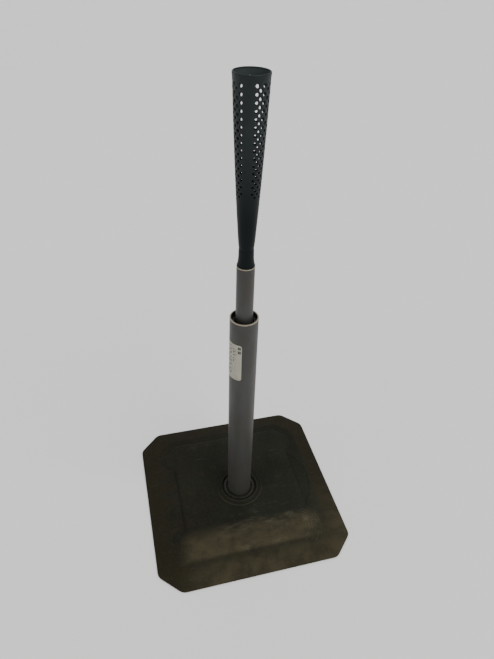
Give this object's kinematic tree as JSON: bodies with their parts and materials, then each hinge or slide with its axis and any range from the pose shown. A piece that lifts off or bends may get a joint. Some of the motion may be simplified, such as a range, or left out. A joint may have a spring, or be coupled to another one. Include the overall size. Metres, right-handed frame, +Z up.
{
  "type": "batting tee",
  "caption": "Batting tee: square rubber base, telescoping steel pole that slides and turns, and a flexible perforated rubber cone that holds the ball.",
  "frame": {"origin": "on the floor under the pole's axis, at the middle of the base", "axes": "+Z up along the pole; +Y towards the base's back edge, +X towards its right-hand grip"},
  "size_m": [0.4, 0.4, 0.871],
  "materials": {
    "base_rubber": "moulded black rubber, dusty and worn",
    "socket_black": "black paint, dusty",
    "zinc_steel": "zinc plated",
    "grey_paint": "satin grey powder coat",
    "black_nylon": "moulded black nylon",
    "label_paper": "off-white film label",
    "sleeve_rubber": "black rubber",
    "cone_rubber": "smooth black rubber, satin"
  },
  "bodies": {
    "base": {"rubber_base": "base_rubber", "pole_socket": "socket_black", "anchor_plate": "zinc_steel", "plate_screws": "zinc_steel", "base_bolt": "zinc_steel", "bolt_washer": "zinc_steel", "foot_plug": "zinc_steel", "outer_tube": "grey_paint", "guide_bush": "black_nylon", "label": "label_paper"},
    "slider": {"expander_sleeve": "sleeve_rubber"},
    "stem": {"inner_tube": "grey_paint", "end_plug": "zinc_steel", "upper_washer": "zinc_steel", "lower_washer": "zinc_steel", "expander_bolt": "zinc_steel", "cone_insert": "black_nylon", "cone_foot": "cone_rubber"},
    "cone": {"cone_neck": "cone_rubber", "cone_wall": "cone_rubber"}
  },
  "joints": [
    {"name": "stem_slide", "type": "slide", "parent": "base", "child": "slider", "axis": [0, 0, 1], "range_m": [-0.098, 0.25]},
    {"name": "stem_twist", "type": "hinge", "parent": "slider", "child": "stem", "pos_m": [0, 0, 0.16], "axis": [0, 0, 1], "continuous": true},
    {"name": "cone_flex", "type": "hinge", "parent": "stem", "child": "cone", "pos_m": [0, 0, 0.615], "axis": [0, 1, 0], "range_deg": [-30, 30], "stiffness_Nm_per_rad": 9, "deforming": ["cone_neck"]}
  ]
}
